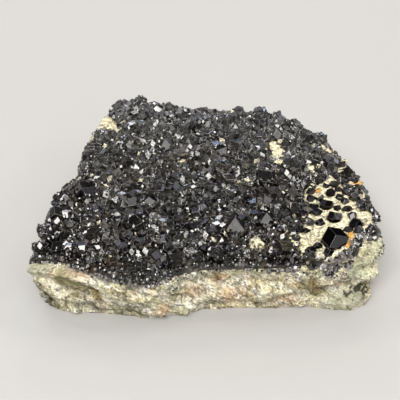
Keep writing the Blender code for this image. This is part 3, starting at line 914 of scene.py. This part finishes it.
# %% Large garnets
LARGE_GARNETS = [
    (14.5, -36, 10.5), (29, -5, 10.0), (35, -48, 8.5), (-26, -34, 10.0), (-49, -13, 11.5),
    (-15, 18, 9.0), (28, -31, 8.0), (7, -51, 7.0), (-2, 31, 7.5), (-21, -20, 8.0),
    (40, -14, 7.0), (-4, -36, 6.5), (-44, -39, 7.0), (64, 0, 7.0), (40, 5, 7.5),
    (-33, 6, 8.0), (10, 14, 7.5), (-60, -43, 6.5), (49, 24, 6.5), (-10, -53, 6.5),
]
LARGE_TURN_SEED = 12
EVEN = (1.0, 1.0, 1.0)
WRAP = 1.02


def large_garnets():
    """Wraps the crust's large garnets: the top of the solid at each place gives the height."""
    chance = random.Random(LARGE_TURN_SEED)
    crystals = []
    for x, y, size in LARGE_GARNETS:
        turn = any_turn(chance)
        top = max(point.z for point in tops_near(x, y, size * 0.5))
        reach = max((turn @ Vector(p)).z for p in PLAIN_GARNET[0][0])
        centre = (x, y, top - reach * size)
        crystals.append((centre, size * WRAP, turn, EVEN, 0.1))
    return crystals


def tops_near(x, y, radius):
    """The crust's own corner points within radius of a place."""
    return [v.co / MM for v in ground.data.vertices if math.hypot(v.co.x / MM - x, v.co.y / MM - y) < radius]


large = grow("garnets_large", large_garnets(), CUT_GARNETS[:1], random.Random(1))

# %% Lone garnets
LONE_NODES = ["garnet_largest", "garnet_right", "garnet_middle", "garnet_left", "garnet_upper"]
LONE_TURN_SEED = 13


def lone_garnet(node_name, turn):
    low, high = (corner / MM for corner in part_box(node_name))
    spread = [turn @ Vector(p) for p in PLAIN_GARNET[0][0]]
    size = (high.z - low.z) / (max(p.z for p in spread) - min(p.z for p in spread))
    crystal = ((low + high) / 2, size, turn, EVEN, 0.0)
    made = grow("lone_" + node_name, [crystal], CUT_GARNETS[:1], random.Random(2))
    made.data.materials.append(LARGE_GARNET)
    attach(made, "root")
    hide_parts(node_name)
    return (low + high) / 2, size


lone_chance = random.Random(LONE_TURN_SEED)
LONE_PLACES = [lone_garnet(name, any_turn(lone_chance)) for name in LONE_NODES]

# %% [markdown]
# ## The druse
# The common garnets are 2 to 5 mm. They are thrown at the crust one by one, the biggest first, and each stays if
# it isn't too near its neighbours. It then sinks a little into what carries it, so that it looks grown, not
# laid. Near the rim they get finer. A second, finer throw fills what is left.

# %% Common garnets
COMMON_COUNT = 2100
COMMON_SIZES = (1.9, 5.0)
COMMON_CLOSENESS = 0.29
SURFACE_REACH = 3.0
SINK = (-0.02, 0.3)
# The slab's plan, in which crystals are thrown.
SLAB_AREA = ((-73, 76), (-67, 57))
FRONT_PART = -30
# Nearer to the front rim than RIM_TAPER a crystal is this part of its size, and so much more for each millimetre.
RIM_TAPER, COMMON_TAPER, FINE_TAPER = 9.0, (0.3, 0.075), (0.55, 0.05)
RIM_BAND = 4.0
BACK_TAPER, BACK_SIZE = 5.0, 0.52
KNOB_SIDE = 30
FAR_FROM_RIM = 10.0


def stretched(chance):
    return tuple(chance.uniform(0.8, 1.2) for _ in range(3))


def thrown(area, chance):
    """A random place in an area of the plan."""
    return chance.uniform(*area[0]), chance.uniform(*area[1])


def rim_distance(x, y):
    """Rough distance to the slab's edge, or at the left front to the crust's: the nearest step that leaves it."""
    for reach in (1.5, 3.0, 5.0, 8.0):
        for k in range(8):
            angle = k * math.pi / 4
            beyond = surface_at(x + reach * math.cos(angle), y + reach * math.sin(angle))
            if beyond is None or (not beyond[2] and x < KNOB_SIDE and y < FRONT_PART):
                return reach
    return FAR_FROM_RIM


def common_garnets(places, chance):
    smallest, biggest = COMMON_SIZES
    crystals = []
    for _ in range(COMMON_COUNT * 14):
        if len(crystals) >= COMMON_COUNT:
            break
        x, y = thrown(SLAB_AREA, chance)
        share = len(crystals) / COMMON_COUNT
        patchy = 1.0 + 0.35 * noise.noise(Vector((x / 14, y / 14, 5)))
        size = (smallest + (biggest - smallest) * (1 - share) ** 2.0) * patchy
        found = surface_at(x, y)
        if found is None or not found[2]:
            continue
        height = found[0]
        if near_any(x, y, OPEN_SPOTS, 0.3 * size):
            continue
        if near_any(x, y, CREAM_SPOTS, -0.7) and chance.random() < 0.93:
            continue
        edge = rim_distance(x, y)
        if edge < RIM_TAPER and y < FRONT_PART:
            size *= COMMON_TAPER[0] + COMMON_TAPER[1] * edge
        elif edge < BACK_TAPER:
            size *= BACK_SIZE
        if not places.is_free(x, y, size, COMMON_CLOSENESS):
            continue
        places.take(x, y, size)
        sink = chance.uniform(*SINK)
        level = 0.35 * height + 0.65 * (mean_surface(x, y, SURFACE_REACH) or height) - sink * size
        centre = (x, y, level)
        dust = min(1.0, max(0.0, 2.4 * sink))
        crystals.append((centre, size, any_turn(chance), stretched(chance), dust))
    return crystals


druse_chance = random.Random(21)
near_rim = []
places = Places()
for x, y, size in LARGE_GARNETS:
    places.take(x, y, size * 1.25)
for centre, size in LONE_PLACES:
    places.take(centre.x, centre.y, size * 1.2)
common = grow("garnets_common", common_garnets(places, druse_chance), CUT_GARNETS, druse_chance)

# %% Fine garnets
FINE_COUNT = 6200
FINE_SIZES = (0.8, 1.9)
FINE_CLOSENESS = 0.28
# The two small knobs of rock: fine garnets grow over them up to their cream middle.
KNOB_SPOTS = [(23.5, -44, 8), (18.5, -7, 7)]
# The bare ledge at the left front, in plan.
LEDGE_AREA = ((-73, -12), (-68, -44))
# No crystal grows on the slab's top lower than this.
LOWEST_RIM = 19.0


def fine_garnets(places, chance, near_rim):
    """Small garnets in the gaps between the common ones."""
    crystals = []
    for _ in range(FINE_COUNT * 12):
        if len(crystals) >= FINE_COUNT:
            break
        x, y = thrown(SLAB_AREA, chance)
        size = chance.uniform(*FINE_SIZES)
        found = surface_at(x, y)
        if found is None:
            continue
        height, _, on_crust = found
        on_ledge = x < LEDGE_AREA[0][1] and y < FRONT_PART
        on_knob = near_any(x, y, KNOB_SPOTS) and not near_any(x, y, CREAM_SPOTS, -0.2)
        if not on_crust and not on_knob and (on_ledge or height < LOWEST_RIM or rim_distance(x, y) > 2):
            continue
        if near_any(x, y, OPEN_SPOTS):
            continue
        if near_any(x, y, CREAM_SPOTS, -0.5) and chance.random() < 0.8:
            continue
        if not places.is_free(x, y, size, FINE_CLOSENESS):
            continue
        places.take(x, y, size)
        centre = (x, y, height + chance.uniform(-0.2, 0.25) * size)
        edge = rim_distance(x, y) if y < FRONT_PART else FAR_FROM_RIM
        if edge < RIM_TAPER:
            size *= FINE_TAPER[0] + FINE_TAPER[1] * edge
        band = near_rim if edge < RIM_BAND else crystals
        band.append((centre, size, any_turn(chance), stretched(chance), chance.uniform(0.0, 0.8)))
    return crystals


fine = grow("garnets_fine", fine_garnets(places, druse_chance, near_rim), PLAIN_GARNET, druse_chance)

# %% [markdown]
# ## Garnets in the bare rock
# The pale knob at the right is peppered with garnets of all sizes, sunk to about half. Some parts of it are
# almost clean, and there the rock shows as broad cream areas.

# %% Garnets in the rock
ROCK_GARNET_COUNT = 430
ROCK_GARNET_SIZES = (0.9, 3.7)
ROCK_CLOSENESS = 0.5
KNOB_AREA = ((40, 75), (-54, -5))


def rock_garnets(places, chance):
    smallest, biggest = ROCK_GARNET_SIZES
    crystals = []
    for _ in range(ROCK_GARNET_COUNT * 14):
        if len(crystals) >= ROCK_GARNET_COUNT:
            break
        x, y = thrown(KNOB_AREA, chance)
        size = smallest + (biggest - smallest) * (1 - len(crystals) / ROCK_GARNET_COUNT) ** 1.8
        found = surface_at(x, y)
        if found is None or found[2] or near_any(x, y, CLEAN_ROCK, 0.2 * size) or found[0] < LOWEST_RIM:
            continue
        if not places.is_free(x, y, size, ROCK_CLOSENESS):
            continue
        places.take(x, y, size)
        centre = (x, y, found[0] - chance.uniform(0.0, 0.25) * size)
        crystals.append((centre, size, any_turn(chance), stretched(chance), 0.2))
    return crystals


in_rock = grow("garnets_in_rock", rock_garnets(places, druse_chance), CUT_GARNETS, druse_chance)

# %% [markdown]
# ## The crust's broken edge
# Along the rim the crust is seen in section: a band of fine garnets up to two millimetres deep, which thins out
# downwards over the rock. Rays from the four sides find the wall, and fine crystals are set into it.

# %% Rim garnets
RIM_COUNT = 4600
RIM_SIZES = (0.45, 1.0)
RIM_DEPTH = 2.0
RIM_REACH = 5.5
CLEAN_RIM = (-36, -5)
SIDES = [((0, -1), 0.5), ((1, 0), 0.16), ((-1, 0), 0.18), ((0, 1), 0.16)]


def rim_garnets(chance):
    crystals = []
    for side, share in SIDES:
        outward = Vector((side[0], side[1], 0))
        along = Vector((-side[1], side[0], 0))
        for _ in range(int(RIM_COUNT * share * 3)):
            start = along * chance.uniform(-75, 77) + outward * 120
            depth = RIM_DEPTH * chance.random() ** 2.2
            size = chance.uniform(*RIM_SIZES) * (1.2 - 0.2 * depth)
            hit = ROCK_TREE.ray_cast(start + Vector((0, 0, 23)), -outward)
            if hit[0] is None:
                continue
            inside = hit[0] - outward * 2.5
            top = surface_at(inside.x, inside.y)
            if top is None or not top[2] or (side == (0, -1) and CLEAN_RIM[0] < hit[0].x < CLEAN_RIM[1]):
                continue
            bed = ROCK_TREE.ray_cast(Vector((inside.x, inside.y, 60)), DOWN)[0]
            if bed is None:
                continue
            hit = ROCK_TREE.ray_cast(Vector((start.x, start.y, bed.z - depth + 0.8)), -outward)
            if hit[0] is None or (hit[0] - inside).length > RIM_REACH:
                continue
            if hit[0].z < LOWEST_RIM - 2 or noise.noise(hit[0] / 5 + Vector((0, 0, 9))) < -0.4 + 0.2 * depth:
                continue
            centre = hit[0] - hit[1] * size * 0.1
            crystals.append((centre, size, any_turn(chance), stretched(chance), chance.uniform(0.4, 1.0)))
            if len(crystals) >= RIM_COUNT:
                return crystals
    return crystals


near_rim += rim_garnets(random.Random(31))
print("along the rim:", len(near_rim))

# %% [markdown]
# ## The ledge and the band
# At the left front the crust stops short of the rim, and fine crystals thin out over the bare ledge before it.
# At the right end a narrow band of grey druse runs over the bare rock, along a line given in plan.

# %% Ledge and band
LEDGE_COUNT = 1300
# How far the crystals go from the crust over the ledge; left of CLEAN_LIP they go less far.
LEDGE_REACH = 1.9
CLEAN_LIP, CLEAN_REACH = -54, 1.0
BAND_LINE = [(49, -54.8), (55, -53.5), (61, -50.5), (65, -45), (69.5, -41), (74.5, -38)]
BAND_AREA = ((49, 76), (-60, -36))
BAND_WIDE = 1.8
BAND_COUNT = 900
BAND_SIZES = (0.45, 1.55)


def ledge_garnets(chance):
    crystals = []
    for _ in range(LEDGE_COUNT * 14):
        if len(crystals) >= LEDGE_COUNT:
            break
        x, y = thrown(LEDGE_AREA, chance)
        found = surface_at(x, y)
        reach = (LEDGE_REACH if x > CLEAN_LIP else CLEAN_REACH) * chance.random() ** 1.4
        if found is None or found[2] or found[0] < LOWEST_RIM - 2:
            continue
        crust = CRUST_TREE.ray_cast(Vector((x, y, found[0] + 0.7)), Vector((0, 1, 0)), reach)
        if crust[0] is None:
            continue
        size = chance.uniform(*RIM_SIZES) * 1.1
        centre = Vector((x, y, found[0] - 0.1 * size))
        crystals.append((centre, size, any_turn(chance), stretched(chance), chance.uniform(0.4, 1.0)))
    return crystals


def band_distance(x, y):
    """Distance in plan from the middle line of the grey band at the right end."""
    nearest = BAND_WIDE * 3
    for (ax, ay), (bx, by) in zip(BAND_LINE, BAND_LINE[1:]):
        share = ((x - ax) * (bx - ax) + (y - ay) * (by - ay)) / ((bx - ax) ** 2 + (by - ay) ** 2)
        share = min(1.0, max(0.0, share))
        nearest = min(nearest, math.hypot(x - ax - share * (bx - ax), y - ay - share * (by - ay)))
    return nearest


def band_garnets(chance):
    smallest, biggest = BAND_SIZES
    crystals = []
    for _ in range(BAND_COUNT * 12):
        if len(crystals) >= BAND_COUNT:
            break
        x, y = thrown(BAND_AREA, chance)
        found = surface_at(x, y)
        if found is None or found[2] or found[0] < LOWEST_RIM:
            continue
        reach = BAND_WIDE * (0.35 + 0.65 * chance.random()) + 1.2 * noise.noise(Vector((x, y, 3)) / 3)
        if band_distance(x, y) > reach:
            continue
        size = smallest + (biggest - smallest) * chance.random() ** 1.6
        centre = (x, y, found[0] - 0.1 * size)
        crystals.append((centre, size, any_turn(chance), stretched(chance), chance.uniform(0.2, 0.9)))
    return crystals


rim_crystals = near_rim + ledge_garnets(random.Random(33)) + band_garnets(random.Random(34))
rim = grow("garnets_rim", rim_crystals, PLAIN_GARNET, random.Random(32))

# %% Finishing the garnets
RIM_DRUSE = garnet_finish("fine grey druse", 0.8, colour(24, 24, 26), colour(150, 147, 143), 0.25)
finishes = {rim.name: RIM_DRUSE, large.name: LARGE_GARNET, in_rock.name: ROCK_GARNET}
for piece in (large, common, fine, in_rock, rim):
    piece.data.materials.append(finishes.get(piece.name, GARNET))
    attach(piece, "root")

# %% [markdown]
# ## The table
# The stone lies on a plain pale surface, which only shows its shadow.

# %% Floor
FLOOR_SIZE = 6.0


def add_floor():
    bm = bmesh.new()
    bmesh.ops.create_grid(bm, x_segments=1, y_segments=1, size=FLOOR_SIZE / 2)
    floor = new_object("floor", bm)
    f = Finish("pale table")
    f.link(f.blend(f.noise(3, 2), colour(176, 176, 175), colour(181, 181, 180)), "Base Color")
    f.shader.inputs["Roughness"].default_value = 0.75
    floor.data.materials.append(f.material)


add_floor()
